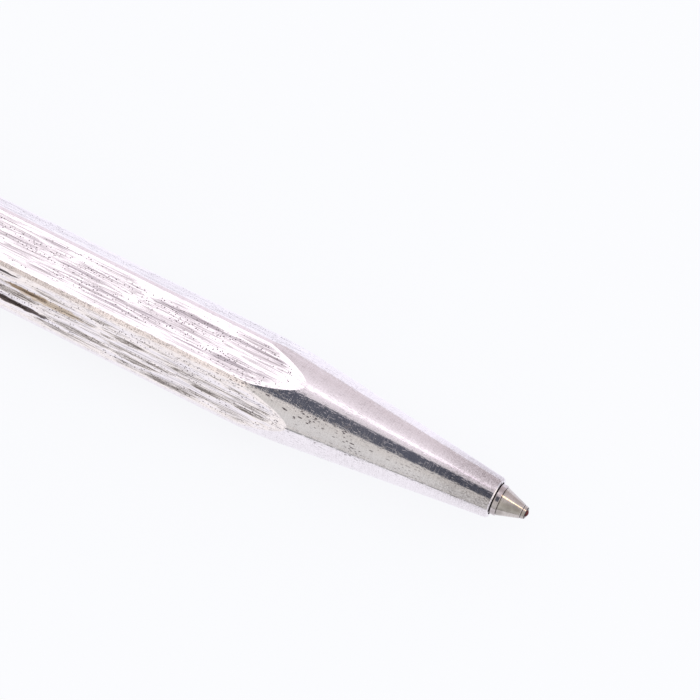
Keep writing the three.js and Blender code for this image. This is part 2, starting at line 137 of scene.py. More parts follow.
def turned(name: str, outline: Outline, sides: int = FINE_SIDES) -> Piece:
    """Turns a piece about the pen's axis, as a ring that is drawn from place to place along a closed outline.

    Args:
        name: The piece's name.
        outline: Pairs of a distance behind the rim and a radius. Places with no radius close to a point.
        sides: How many sides the ring has.

    Returns:
        The piece, about the pen's axis, with its faces pointing out.
    """
    least = 0.001 * MM
    stations = [(-behind, max(radius, least)) for behind, radius in outline]
    start, radius = stations[0]
    deselect_all()
    bpy.ops.mesh.primitive_circle_add(
        vertices=sides, radius=radius, location=(start, 0, 0), rotation=(0, math.pi / 2, 0)
    )
    piece = bpy.context.object
    piece.name = piece.data.name = name
    bpy.ops.object.transform_apply(location=True, rotation=True, scale=True)
    bpy.ops.object.mode_set(mode="EDIT")
    bpy.ops.mesh.select_all(action="SELECT")
    for x, wider in stations[1:]:
        draw_on(start, x)
        share = wider / radius
        bpy.ops.transform.resize(value=(1, share, share), center_override=(x, 0, 0))
        start, radius = x, wider
    choose(piece, lambda edge: edge.is_boundary, "EDGE")
    bpy.ops.mesh.bridge_edge_loops()
    bpy.ops.mesh.select_all(action="SELECT")
    bpy.ops.mesh.remove_doubles(threshold=2.5 * least)
    face_out()
    close_mesh()
    return piece


def mill_flats(piece: Piece, height: float) -> None:
    """Mills six flats along a turned piece.

    Args:
        piece: The piece.
        height: The flats' distance from its axis.
    """
    for away in HEXAGON:
        open_mesh(piece, "SELECT")
        bpy.ops.mesh.bisect(
            plane_co=away * height, plane_no=away, use_fill=True, clear_outer=True, threshold=SAME
        )
        close_mesh()


def with_modifier(piece: Piece, kind: str, **settings: object) -> None:
    """Gives a piece one modifier and applies it.

    Args:
        piece: The piece.
        kind: The modifier's type.
        settings: The modifier's own settings.
    """
    take(piece)
    bpy.ops.object.modifier_add(type=kind)
    modifier = piece.modifiers[-1]
    for key, value in settings.items():
        setattr(modifier, key, value)
    bpy.ops.object.modifier_apply(modifier=modifier.name)


def ease_edges(piece: Piece, width: float, over: float, steps: int = 2) -> None:
    """Rounds the edges of a piece that are sharper than an angle in degrees."""
    limit = {"limit_method": "ANGLE", "angle_limit": math.radians(over)}
    with_modifier(piece, "BEVEL", width=width, segments=steps, **limit)


def shade(piece: Piece, angle: float) -> Piece:
    """Shades a piece smooth, with a crease at its sharper edges.

    Args:
        piece: The piece.
        angle: The least angle of a crease, in degrees.

    Returns:
        The piece.
    """
    take(piece)
    bpy.ops.object.shade_smooth_by_angle(angle=math.radians(angle), keep_sharp_edges=True)
    return piece


def settle(piece: Piece, body: str, finish: bpy.types.Material, node: str) -> None:
    """Puts a finished piece where the CAD model has it, dresses it and lets it ride.

    Args:
        piece: The piece, still about the pen's axis with the rim at zero.
        body: The CAD body that it moves with.
        finish: Its material.
        node: The CAD node that it stands for.
    """
    take(piece)
    piece.location = RIM
    bpy.ops.object.transform_apply(location=True, rotation=True, scale=True)
    piece.data.materials.clear()
    piece.data.materials.append(finish)
    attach(piece, body)
    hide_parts(node)
    LOG.info("%s: %d faces, on %s", piece.name, len(piece.data.polygons), body)


# Finishes


class Grain(Enum):
    """How a fine pattern runs: how far it is drawn out along the pen, and across it."""

    ALONG = (14.0, 1.0, 1.0)
    ROUND = (0.06, 1.0, 1.0)
    DASHED = (2.4, 1.0, 1.0)
    SCORED = (4.5, 1.0, 1.0)
    TOOLED = (48.0, 1.0, 1.0)
    EVEN = (1.0, 1.0, 1.0)


class Tree:
    """A node tree, with short calls for what the finishes and the room need."""

    def __init__(self, owner: bpy.types.Material | bpy.types.World) -> None:
        """Empties the node tree.

        Args:
            owner: The material or the world that it belongs to.
        """
        owner.use_nodes = True
        self.nodes, self.links = owner.node_tree.nodes, owner.node_tree.links
        self.nodes.clear()

    def node(self, kind: str, wires: dict[object, object], **settings: object) -> bpy.types.Node:
        """Adds a node.

        Args:
            kind: The node's type.
            wires: What goes into each input: another node's output, or a value.
            settings: The node's own settings.

        Returns:
            The node.
        """
        made = self.nodes.new(kind)
        for key, value in settings.items():
            setattr(made, key, value)
        for key, source in wires.items():
            if isinstance(source, Socket):
                self.links.new(source, made.inputs[key])
            else:
                made.inputs[key].default_value = source
        return made

    def between(self, value: Socket, low: float, high: float, to: Pair = (0, 1)) -> Socket:
        """Spreads the part of a pattern between two levels over a range, smoothly."""
        wires = {"Value": value, "From Min": low, "From Max": high, "To Min": to[0], "To Max": to[1]}
        return self.node("ShaderNodeMapRange", wires, interpolation_type="SMOOTHSTEP").outputs[0]

    def sum(self, kind: str, *values: object) -> Socket:
        """Reckons values together, one after the other.

        Args:
            kind: The sum, such as ADD or MAXIMUM.
            values: Two values or more.

        Returns:
            What comes out.
        """
        total = values[0]
        for value in values[1:]:
            total = self.node("ShaderNodeMath", {0: total, 1: value}, operation=kind).outputs[0]
        return total

    def times(self, *values: object) -> Socket:
        """The product of two values or more."""
        return self.sum("MULTIPLY", *values)

    def vector(self, kind: str, *values: object) -> bpy.types.Node:
        """One step of reckoning with places or directions."""
        return self.node("ShaderNodeVectorMath", dict(enumerate(values)), operation=kind)

    def parts(self, place: Socket) -> Sequence[Socket]:
        """The three parts of a place or of a direction."""
        return self.node("ShaderNodeSeparateXYZ", {0: place}).outputs

    def mixed(self, share: object, first: object, second: object) -> Socket:
        """A colour between two others."""
        return self.node("ShaderNodeMix", {0: share, 6: first, 7: second}, data_type="RGBA").outputs[2]

    def seen(self) -> Socket:
        """Whether a ray comes from the camera, off something glossy or through something clear."""
        path = self.nodes.new("ShaderNodeLightPath").outputs
        return self.sum("MAXIMUM", *(path[f"Is {kind} Ray"] for kind in ("Camera", "Glossy", "Transmission")))


class Finish(Tree):
    """A material on the bench."""

    def __init__(self, name: str, metallic: float = 0.0, roughness: float = 0.4) -> None:
        """Starts a material from its shader.

        Args:
            name: Its name.
            metallic: 1 for metals.
            roughness: How dull it is.
        """
        self.material = bpy.data.materials.new(name)
        super().__init__(self.material)
        self.shader = self.nodes.new("ShaderNodeBsdfPrincipled")
        self.output = self.nodes.new("ShaderNodeOutputMaterial")
        self.links.new(self.shader.outputs[0], self.output.inputs["Surface"])
        self.shader.inputs["Metallic"].default_value = metallic
        self.shader.inputs["Roughness"].default_value = roughness
        self.place = self.nodes.new("ShaderNodeTexCoord").outputs["Object"]

    def laid(self, size: float, grain: Grain = Grain.EVEN, shift: float = 0.0) -> Socket:
        """Places on the piece, as a pattern sees them.

        Args:
            size: The size of the pattern's steps.
            grain: How it is drawn out along or round the pen.
            shift: How far it is moved, in steps, so that two patterns differ.

        Returns:
            The places.
        """
        scale, start = [1 / (size * stretch) for stretch in grain.value], (shift, shift / 2, -shift)
        wires = {"Vector": self.place, "Scale": scale, "Location": start}
        return self.node("ShaderNodeMapping", wires).outputs[0]

    def noise(self, size: float, grain: Grain = Grain.EVEN, detail: float = 2.0, shift: float = 0.0) -> Socket:
        """A cloudy pattern whose clouds have this size."""
        wires = {"Vector": self.laid(size, grain, shift), "Scale": 1.0, "Detail": detail}
        return self.node("ShaderNodeTexNoise", wires).outputs[0]

    def clouds(
        self, size: float, low: float, high: float, to: Pair = (0, 1),
        grain: Grain = Grain.EVEN, detail: float = 2.0, shift: float = 0.0,
    ) -> Socket:
        """What a cloudy pattern shows between two of its levels, spread over a range."""
        return self.between(self.noise(size, grain, detail, shift), low, high, to)

    def dots(
        self, size: float, low: float, high: float, to: Pair = (0, 1),
        grain: Grain = Grain.EVEN, shift: float = 0.0,
    ) -> Socket:
        """Scattered dots, in steps of this size, between two distances from their middles."""
        wires = {"Vector": self.laid(size, grain, shift), "Scale": 1.0}
        return self.between(self.node("ShaderNodeTexVoronoi", wires).outputs["Distance"], low, high, to)

    def behind(self, first: float, last: float, to: Pair = (0, 1)) -> Socket:
        """Spreads the way between two distances behind the rim over a range, smoothly."""
        return self.between(self.parts(self.place)[0], RIM.x - first, RIM.x - last, to)

    def attribute(self, name: str) -> Socket:
        """A value that the piece's own mesh holds."""
        return self.node("ShaderNodeAttribute", {}, attribute_name=name).outputs["Fac"]

    def relief(self, height: Socket, depth: float, over: Socket | None = None) -> Socket:
        """Gives the surface a fine relief.

        Args:
            height: The pattern that it follows.
            depth: How deep it is.
            over: Another relief that it lies on.

        Returns:
            The normals.
        """
        wires: dict[object, object] = {"Height": height, "Distance": depth, "Strength": 1.0}
        if over is not None:
            wires["Normal"] = over
        return self.node("ShaderNodeBump", wires).outputs[0]

    def wear(self, **sockets: Socket) -> bpy.types.Material:
        """Wires patterns into the shader.

        Args:
            sockets: The colour, the roughness and the normal.

        Returns:
            The material.
        """
        names = {"colour": "Base Color", "roughness": "Roughness", "normal": "Normal"}
        for key, source in sockets.items():
            self.links.new(source, self.shader.inputs[names[key]])
        return self.material


@dataclass(frozen=True)
class DarkReflection:
    """A painted reflection of something dark: a dark patch along a scoop, drawn out along the pen."""

    middle: tuple[float, float, float]
    half_length: float
    half_width: float
    tone: Colour

    def over(self, finish: Finish, colour: Socket, ragged: Socket) -> Socket:
        """Lays the painted dark patch over a colour.

        Args:
            finish: The finish that it is part of.
            colour: What it lies on.
            ragged: What makes its edge uneven.

        Returns:
            The colour with the painted dark patch.
        """
        scale = tuple(1 / size for size in (self.half_length, self.half_width, self.half_width))
        shift = tuple(-place * share for place, share in zip(self.middle, scale))
        laid = finish.node("ShaderNodeMapping", {"Vector": finish.place, "Scale": scale, "Location": shift})
        reach = finish.sum("ADD", finish.vector("LENGTH", laid.outputs[0]).outputs["Value"], ragged)
        return finish.mixed(finish.between(reach, 1.25, 0.95), colour, self.tone)


@dataclass(frozen=True)
class SilverPlate:
    """Old silver plate: polished by hand, with pits, a thin film of tarnish and fine scratches."""

    name: str
    silver: Colour = (0.945, 0.91, 0.93, 1)
    # also the colour of the painted shadow in the engraved tool lines
    tarnish: Colour = (0.30, 0.27, 0.27, 1)
    dark_tone: Colour = (0.19, 0.165, 0.18, 1)
    roughness: float = 0.08
    scratch_depth: float = 0.004 * MM
    engraved: bool = False
    line_width: float = 0.085 * MM
    line_depth: float = 0.017 * MM
    worn_side: tuple[float, float, float] = (0, -0.70, 0.714)
    front_tarnish: float = 0.0
    # painted reflections of something dark, laid over the colour as dark patches
    dark_reflections: tuple[DarkReflection, ...] = ()

    def make(self) -> bpy.types.Material:
        """Makes the material.

        Returns:
            The material.
        """
        finish = Finish(self.name, metallic=1.0, roughness=self.roughness)
        cloud = finish.noise(6 * MM, detail=4, shift=2.2)
        film = finish.sum("ADD", finish.between(cloud, 0.3, 0.7, (0.0, 0.05)), self._brushed(finish))
        pits = finish.times(self._pits(finish), self._worn(finish))
        if self.engraved:
            free = finish.attribute("engraved")
            plain = finish.between(free, 0.35, 0.0)
            film = finish.times(film, finish.between(plain, 0, 1, (0.35, 1)))
            film = finish.sum("ADD", film, self._front(finish))
            pits = finish.times(pits, plain)
        normal = finish.relief(finish.sum("SUBTRACT", self._scratches(finish), pits), self.scratch_depth)
        if self.engraved:
            cut = finish.between(free, 0.0, 0.4)
            scoop = finish.between(finish.attribute("scoop"), 0.02, 0.3, (0.3, 1.0))
            tooled = finish.times(cut, scoop)
            lines = finish.noise(self.line_width, Grain.TOOLED, detail=1.0, shift=4.4)
            normal = finish.relief(finish.times(lines, tooled), self.line_depth, normal)
            # Painted shadow: the tool lines are darkened with the tarnish colour, as more film.
            shadow = finish.times(finish.between(lines, 0.52, 0.36, (0, 0.5)), tooled)
            film = finish.sum("MAXIMUM", film, shadow)
            pits = finish.sum("MAXIMUM", pits, self._holes(finish, cut))
        rough = finish.between(cloud, 0.3, 0.7, (self.roughness, self.roughness + 0.06))
        rough = finish.sum("ADD", rough, finish.times(pits, 0.3))
        colour = finish.mixed(film, self.silver, self.tarnish)
        ragged = finish.clouds(0.16 * MM, 0.3, 0.7, (0, 0.4), Grain.SCORED, shift=2.8)
        # Painted reflection: dark patches laid over the colour.
        for dark_reflection in self.dark_reflections:
            colour = dark_reflection.over(finish, colour, ragged)
        return finish.wear(colour=finish.mixed(pits, colour, self.dark_tone), roughness=rough, normal=normal)

    def _pits(self, finish: Finish) -> Socket:
        """Short dark pits and dust, which lie in loose groups.

        Args:
            finish: The finish in the making.

        Returns:
            How pitted a place is.
        """
        where = finish.noise(1.9 * MM, detail=3, shift=7.7)
        fine = finish.dots(0.17 * MM, 0.38, 0.22, grain=Grain.DASHED, shift=3.1)
        fine = finish.times(fine, finish.between(where, 0.43, 0.53))
        dust = finish.dots(0.115 * MM, 0.36, 0.20, (0, 0.35), shift=12.1)
        dust = finish.times(dust, finish.between(where, 0.40, 0.60))
        large = finish.dots(0.34 * MM, 0.19, 0.11, grain=Grain.SCORED, shift=9.1)
        return finish.sum("MAXIMUM", fine, dust, large)

    def _worn(self, finish: Finish) -> Socket:
        """How pitted a place is: most on the thick end of the cone, on the side that faces the room.

        Args:
            finish: The finish in the making.

        Returns:
            The share of the pits that show.
        """
        from_axis = finish.vector("SUBTRACT", finish.place, (0, 0, RIM.z))
        round_pen = finish.vector("MULTIPLY", from_axis.outputs[0], (0, 1, 1))
        away = finish.vector("NORMALIZE", round_pen.outputs[0])
        facing = finish.vector("DOT_PRODUCT", away.outputs[0], self.worn_side).outputs["Value"]
        facing = finish.between(facing, 0.89, 0.98, (0.2, 1))
        on_cone = finish.behind(7 * MM, 13 * MM, (0.4, 1))
        on_bar = finish.behind(26 * MM, 19 * MM, (0.25, 1))
        return finish.times(facing, on_cone, on_bar)

    def _scratches(self, finish: Finish) -> Socket:
        """Fine hairlines along the pen, and finer ones that cross them."""
        along = finish.clouds(0.07 * MM, 0.58, 0.74, (0, 0.8), Grain.ALONG, detail=1, shift=1.3)
        return finish.sum("ADD", along, finish.clouds(0.9 * MM, 0.56, 0.74, (0, 0.35), Grain.ROUND, shift=5.1))

    def _brushed(self, finish: Finish) -> Socket:
        """The faint grey lines that polishing leaves round the pen, and a fine grain."""
        lines = finish.clouds(1.1 * MM, 0.42, 0.70, (0, 0.12), Grain.ROUND, shift=6.3)
        return finish.sum("ADD", lines, finish.clouds(0.13 * MM, 0.45, 0.75, (0, 0.19), detail=3, shift=0.7))

    def _front(self, finish: Finish) -> Socket:
        """The darker film on the last millimetres before the rim, mostly on the upper side.

        Args:
            finish: The finish in the making.

        Returns:
            How tarnished a place is.
        """
        cloud = finish.clouds(1.5 * MM, 0.3, 0.7, (0.75, 1.0), detail=3, shift=1.9)
        specks = finish.clouds(0.12 * MM, 0.35, 0.65, (0.55, 1.45), shift=3.9)
        upper = finish.between(finish.parts(finish.place)[2], RIM.z + 0.5 * MM, RIM.z + 1.2 * MM, (0.3, 1))
        return finish.times(finish.behind(7.5 * MM, 1.5 * MM, (0, self.front_tarnish)), upper, cloud, specks)

    def _holes(self, finish: Finish, cut: Socket) -> Socket:
        """Rows of small dark pits along the scoops."""
        rows = finish.clouds(0.36 * MM, 0.46, 0.55, grain=Grain.ALONG, detail=1, shift=8.8)
        return finish.times(finish.dots(0.21 * MM, 0.33, 0.18, shift=6.6), rows, finish.between(cut, 0.0, 0.3))


@dataclass(frozen=True)
class PlainMetal:
    """A bare metal with the fine rings or lines of how it was made, and painted shade in its grooves."""

    name: str
    metal: Colour
    shaded: Colour
    roughness: float = 0.25
    grain: Grain = Grain.ROUND
    ring_shade: float = 0.0
    grooves: tuple[Pair, ...] = ()
    # near black: the colour of the painted shade in the grooves
    dark_tone: Colour = (0.045, 0.04, 0.042, 1)
    relief: float = 0.003 * MM

    def make(self) -> bpy.types.Material:
        """Makes the material.

        Returns:
            The material.
        """
        finish = Finish(self.name, metallic=1.0, roughness=self.roughness)
        ring_size = 0.9 * MM if self.grain is Grain.ROUND else 0.06 * MM
        rings = finish.noise(ring_size, self.grain, detail=2)
        film = finish.clouds(1.1 * MM, 0.35, 0.7, detail=3, shift=4.0)
        film = finish.sum("MAXIMUM", film, finish.between(rings, 0.5, 0.66, (0, self.ring_shade)))
        colour = finish.mixed(film, self.metal, self.shaded)
        # Painted shade: the grooves are darkened to near black.
        if self.grooves:
            colour = finish.mixed(self._shade_in_grooves(finish), colour, self.dark_tone)
        rough = finish.between(rings, 0.3, 0.7, (self.roughness, self.roughness + 0.12))
        return finish.wear(colour=colour, roughness=rough, normal=finish.relief(rings, self.relief))

    def _shade_in_grooves(self, finish: Finish) -> Socket:
        """Painted shade in the grooves: dark rings round the piece, from one distance before the rim to
        another.

        Args:
            finish: The finish in the making.

        Returns:
            How much painted shade a place gets.
        """
        soft = 0.02 * MM
        found: object = 0.0
        for back, front in self.grooves:
            after = finish.behind(soft - back, -soft - back)
            before = finish.behind(-soft - front, soft - front)
            found = finish.sum("MAXIMUM", found, finish.times(after, before))
        return found


@dataclass(frozen=True)
class Moulded:
    """A moulded plastic with a faint grain."""

    name: str
    plastic: Colour
    shaded: Colour
    roughness: float = 0.42
    relief: float = 0.003 * MM

    def make(self) -> bpy.types.Material:
        """Makes the material.

        Returns:
            The material.
        """
        finish = Finish(self.name, roughness=self.roughness)
        grain = finish.noise(0.08 * MM, detail=2, shift=2.0)
        colour = finish.mixed(finish.clouds(2.5 * MM, 0.35, 0.7, detail=3), self.plastic, self.shaded)
        rough = finish.between(grain, 0.3, 0.7, (self.roughness - 0.05, self.roughness + 0.08))
        return finish.wear(colour=colour, roughness=rough, normal=finish.relief(grain, self.relief))


# Pieces


def mm(*sizes: float) -> tuple[float, ...]:
    """Sizes in millimetres, as metres."""
    return tuple(size * MM for size in sizes)


def rise(value: float, low: float, high: float) -> float:
    """A smooth step from 0 at the low value to 1 at the high one."""
    share = min(max((value - low) / (high - low), 0.0), 1.0)
    return share * share * (3 - 2 * share)


def stepped(radius: float, *steps: Pair) -> list[Pair]:
    """The places of an outline that runs along the pen and steps to another radius now and then.

    Args:
        radius: The radius that it comes with.
        steps: Pairs of a distance behind the rim and the radius that it steps to there.

    Returns:
        Its places, as pairs of a distance behind the rim and a radius.
    """
    places = []
    for behind, to in steps:
        places += [(behind, radius), (behind, to)]
        radius = to
    return places


def groove(first: float, last: float, radius: float, depth: float, slant: float) -> list[Pair]:
    """The places of an outline that dips into one groove, between two distances behind the rim."""
    return [(first, radius), (first + slant, radius - depth), (last - slant, radius - depth), (last, radius)]


@dataclass(frozen=True)
class Scoop:
    """One long shallow cut of the engraving, shaped like a lens."""

    behind: float
    aside: float
    half_length: float
    half_width: float
    depth: float

    def depth_at(self, behind: float, aside: float) -> float:
        """How deep the cut is at a place on its flat.

        Args:
            behind: The place's distance behind the rim.
            aside: Its distance from the flat's middle line.

        Returns:
            The depth, or nothing outside the cut.
        """
        along = (behind - self.behind) / self.half_length
        across = (aside - self.aside) / self.half_width
        return max(self.depth * (1 - along**2 - across**2), 0.0)


@dataclass
class Barrel:
    """The six-sided barrel: a turned bar with a cone, six milled flats and their engraving."""

    length: float = 117.8 * MM
    cone: float = 21.0 * MM
    flat_height: float = 3.7 * MM
    bar_radius: float = 4.165 * MM
    rim_radius: float = 1.72 * MM
    rim_chamfer: float = 0.1 * MM
    tail_chamfer: float = 0.35 * MM
    nose_hole: float = 1.4 * MM
    bush: Pair = mm(8.0, 11.0)
    bush_radius: float = 2.04 * MM
    chamber_radius: float = 2.18 * MM
    taper: Pair = mm(16.6, 19.7)
    bore_radius: float = 3.15 * MM
    insert_front: float = 107.8 * MM
    insert_radius: float = 3.41 * MM
    sides: int = 192
    rung_gap: float = 0.23 * MM
    coarse_from: float = 66.0 * MM
    rung_cuts: tuple[int, int] = (13, 10)  # made twice, before and behind where they get coarser
    columns: int = 36
    scoop_rows: int = 5
    scoop_start: Pair = (-1.0, 3.0)  # millimetres behind the tongue's tip
    scoop_half_length: Pair = mm(2.2, 4.8)
    scoop_half_width: Pair = mm(0.32, 0.62)
    scoop_sway: float = 0.18  # millimetres to either side of its row
    scoop_slope: Pair = (0.09, 0.20)
    scoop_gap: Pair = (0.72, 1.0)  # from one scoop to the next, as a share of its length
    scoop_depth: float = 0.105 * MM
    fine_rows: int = 8
    fine_share: float = 0.42
    side_margin: Pair = mm(0.18, 0.80)
    tongue_margin: Pair = mm(0.6, 2.6)
    tail_margin: Pair = mm(0.5, 1.6)
    # Painted reflections of something dark, as dark patches along scoops of one flat.
    dark_reflections: tuple[DarkReflection, ...] = (
        DarkReflection(mm(22.4, -2.94, 6.00), 3.8 * MM, 0.38 * MM, (0.66, 0.57, 0.48, 1)),
        DarkReflection(mm(20.6, -2.89, 6.09), 2.2 * MM, 0.21 * MM, (0.34, 0.26, 0.19, 1)),
        DarkReflection(mm(19.7, -3.69, 4.70), 3.7 * MM, 0.25 * MM, (0.12, 0.10, 0.10, 1)),
        DarkReflection(mm(17.7, -2.45, 6.85), 1.9 * MM, 0.12 * MM, (0.10, 0.09, 0.09, 1)),
    )

    @property
    def slope(self) -> float:
        """How much the cone's radius grows with each metre."""
        return (self.bar_radius - self.rim_radius) / self.cone

    @property
    def tongue_tip(self) -> float:
        """Where the flats start on the cone."""
        return (self.flat_height - self.rim_radius) / self.slope

    @property
    def bar_end(self) -> float:
        """Where the chamfer of the tail starts."""
        return self.length - self.tail_chamfer

    def half_width(self, behind: float) -> float:
        """Half the width of a flat at a place along the pen."""
        radius = min(self.bar_radius, self.rim_radius + self.slope * behind)
        return math.sqrt(max(radius**2 - self.flat_height**2, 0.0))

    def on_flat(self, away: Vector, place: Vector) -> bool:
        """Whether a place lies on the plane of the flat that faces this way."""
        return abs(place.dot(away) - self.flat_height) < SAME

    def is_flat(self, *places: Vector) -> bool:
        """Whether places all lie on the plane of one of the flats."""
        return any(all(self.on_flat(away, place) for place in places) for away in HEXAGON)

    def is_outside(self, place: Vector) -> bool:
        """Whether a place lies on the outside of the bar and not in its bores."""
        return place.yz.length > 0.999 * self.flat_height

    def turn(self) -> Piece:
        """Turns the bar with its cone and its bores.

        Returns:
            The bar, still without its flats.
        """
        outline = [
            (0, self.rim_radius - self.rim_chamfer),
            (self.rim_chamfer, self.rim_radius + self.slope * self.rim_chamfer),
            (self.cone, self.bar_radius),
            (self.bar_end, self.bar_radius),
            (self.length, self.bar_radius - self.tail_chamfer),
            (self.length, self.insert_radius),
            *stepped(self.insert_radius, (self.insert_front, self.bore_radius)),
            (self.taper[1], self.bore_radius),
            (self.taper[0], self.chamber_radius),
            *stepped(self.chamber_radius, (self.bush[1], self.bush_radius), (self.bush[0], self.nose_hole)),
            (0, self.nose_hole),
        ]
        return turned("engraved_barrel", outline, sides=self.sides)

    def cut_rungs(self, piece: Piece) -> None:
        """Cuts the flats across and the bar's long edges in steps, which gives the engraving its mesh.

        Args:
            piece: The barrel with its flats.
        """
        open_mesh(piece)
        sheet = bmesh.from_edit_mesh(piece.data)
        tip, run = self.tongue_tip, self.cone - self.tongue_tip
        on_tongue = [-v.co.x for v in sheet.verts if self.on_flat(HEXAGON[1], v.co)]
        places = {round(behind, 7) for behind in on_tongue if tip + 10 * SAME < behind < self.cone - 10 * SAME}
        steps = round(run / self.rung_gap)
        places |= {tip + run * (i + 0.5) / steps for i in range(steps)} | {self.cone, self.bar_end}
        for place in sorted(places):
            choose(piece, lambda face: self.is_flat(face.calc_center_median(), face.verts[0].co))
            self._cut_across(place)
        choose(piece, lambda face: all(self.is_outside(v.co) for v in face.verts))
        self._cut_across(self.coarse_from)
        ends = (self.cone, self.coarse_from, self.bar_end)
        for front, back, cuts in zip(ends, ends[1:], self.rung_cuts):
            for _ in range(2):
                choose(piece, lambda edge: self._runs_along(edge, front, back), "EDGE")
                bpy.ops.mesh.subdivide(number_cuts=cuts)
        choose(piece, self._crosses_flat, "EDGE")
        bpy.ops.mesh.subdivide(number_cuts=self.columns - 1)
        close_mesh()

    def _cut_across(self, behind: float) -> None:
        """Cuts what is selected at a place along the pen."""
        bpy.ops.mesh.bisect(plane_co=(-behind, 0, 0), plane_no=(1, 0, 0), threshold=2 * SAME)

    def _runs_along(self, edge: bmesh.types.BMEdge, front: float, back: float) -> bool:
        """Whether an edge lies along the outside of the bar between two places."""
        first, second = (v.co for v in edge.verts)
        return (
            all(front - SAME < -place.x < back + SAME and self.is_outside(place) for place in (first, second))
            and (first.yz - second.yz).length < SAME < abs(first.x - second.x)
        )

    def _crosses_flat(self, edge: bmesh.types.BMEdge) -> bool:
        """Whether an edge crosses a flat from side to side."""
        first, second = (v.co for v in edge.verts)
        return (
            abs(first.x - second.x) < SAME
            and self.is_flat(first, second)
            and abs((first.yz - second.yz).length - 2 * self.half_width(-first.x)) < 0.03 * MM
        )

    def mark_flats(self, piece: Piece) -> None:
        """Marks the outline of each flat as sharp.

        Args:
            piece: The barrel.
        """

        def on_outline(edge: bmesh.types.BMEdge) -> bool:
            """Whether a flat ends at this edge."""
            faces = ([face.calc_center_median(), *(v.co for v in face.verts)] for face in edge.link_faces)
            return [self.is_flat(*places) for places in faces] in ([True, False], [False, True])

        open_mesh(piece)
        choose(piece, on_outline, "EDGE")
        bpy.ops.mesh.mark_sharp()
        close_mesh()

    def lay_scoops(self, seed: int) -> list[Scoop]:
        """Lays the scoops of one flat out in loose, overlapping rows, with rows of finer ones between them.

        Args:
            seed: What makes this flat's rows differ from those of the others.

        Returns:
            The scoops, in places behind the rim and aside from the flat's middle line.
        """
        hand = random.Random(seed)
        scoops = []
        for rows, size in ((self.scoop_rows, 1.0), (self.fine_rows, self.fine_share)):
            spacing = 2 * self.half_width(self.length) / rows
            for row in range(rows):
                behind = self.tongue_tip + hand.uniform(*self.scoop_start) * MM
                while behind < self.length:
                    half_length = size * hand.uniform(*self.scoop_half_length)
                    half_width = size * hand.uniform(*self.scoop_half_width)
                    aside = (row + 0.5 - rows / 2) * spacing
                    aside += hand.uniform(-self.scoop_sway, self.scoop_sway) * MM
                    depth = min(hand.uniform(*self.scoop_slope) * half_width, self.scoop_depth)
                    scoops.append(Scoop(behind + half_length, aside, half_length, half_width, depth))
                    behind += 2 * half_length * hand.uniform(*self.scoop_gap) / size**0.5
        return scoops

    def free_share(self, behind: float, aside: float) -> float:
        """How deep the engraving may go: not at all at a flat's edges and ends.

        Args:
            behind: A place's distance behind the rim.
            aside: Its distance from the flat's middle line.

        Returns:
            The share of the full depth.
        """
        sides = rise(self.half_width(behind) - abs(aside), *self.side_margin)
        tongue = rise(behind - self.tongue_tip, *self.tongue_margin)
        return sides * tongue * rise(self.length - behind, *self.tail_margin)

    def cut_depth(self, scoops: Sequence[Scoop], behind: float, aside: float) -> float:
        """How deep the engraving is at a place: the deepest scoop there, and half of the next one on top."""
        depths = sorted([0.0, 0.0, *(scoop.depth_at(behind, aside) for scoop in scoops)])
        return min(depths[-1] + 0.5 * depths[-2], self.scoop_depth)

    def engrave(self, piece: Piece) -> None:
        """Cuts the scoops into the flats, and keeps on the mesh where and how deep they are, for the finish.

        Args:
            piece: The barrel.
        """
        step = 1.0 * MM
        free, cuts = ([0.0] * len(piece.data.vertices) for _ in range(2))
        for number, away in enumerate(HEXAGON):
            side = Vector((0, -away.z, away.y))
            near: dict[int, list[Scoop]] = {}
            for scoop in self.lay_scoops(number):
                first, last = (round((scoop.behind + end * scoop.half_length) / step) for end in (-1, 1))
                for place in range(first, last + 1):
                    near.setdefault(place, []).append(scoop)
            for index, vertex in enumerate(piece.data.vertices):
                if self.on_flat(away, vertex.co):
                    behind, aside = -vertex.co.x, vertex.co.dot(side)
                    depth = self.cut_depth(near.get(round(behind / step), []), behind, aside)
                    free[index] = self.free_share(behind, aside)
                    cuts[index] = free[index] * depth / self.scoop_depth
        group = piece.vertex_groups.new(name="engraving")
        for index, cut in enumerate(cuts):
            if cut > 0:
                group.add([index], cut, "REPLACE")
        for name, values in (("engraved", free), ("scoop", cuts)):
            piece.data.attributes.new(name, "FLOAT", "POINT").data.foreach_set("value", values)
        pressed = {"mid_level": 0.0, "strength": -self.scoop_depth, "direction": "NORMAL"}
        with_modifier(piece, "DISPLACE", vertex_group=group.name, **pressed)

    def build(self) -> None:
        """Makes the barrel and lets it ride."""
        piece = self.turn()
        mill_flats(piece, self.flat_height)
        self.cut_rungs(piece)
        self.mark_flats(piece)
        self.engrave(piece)
        finish = SilverPlate("engraved silver", engraved=True, front_tarnish=0.42, dark_reflections=self.dark_reflections)
        settle(shade(piece, 35), "barrel_unit", finish.make(), "barrel")


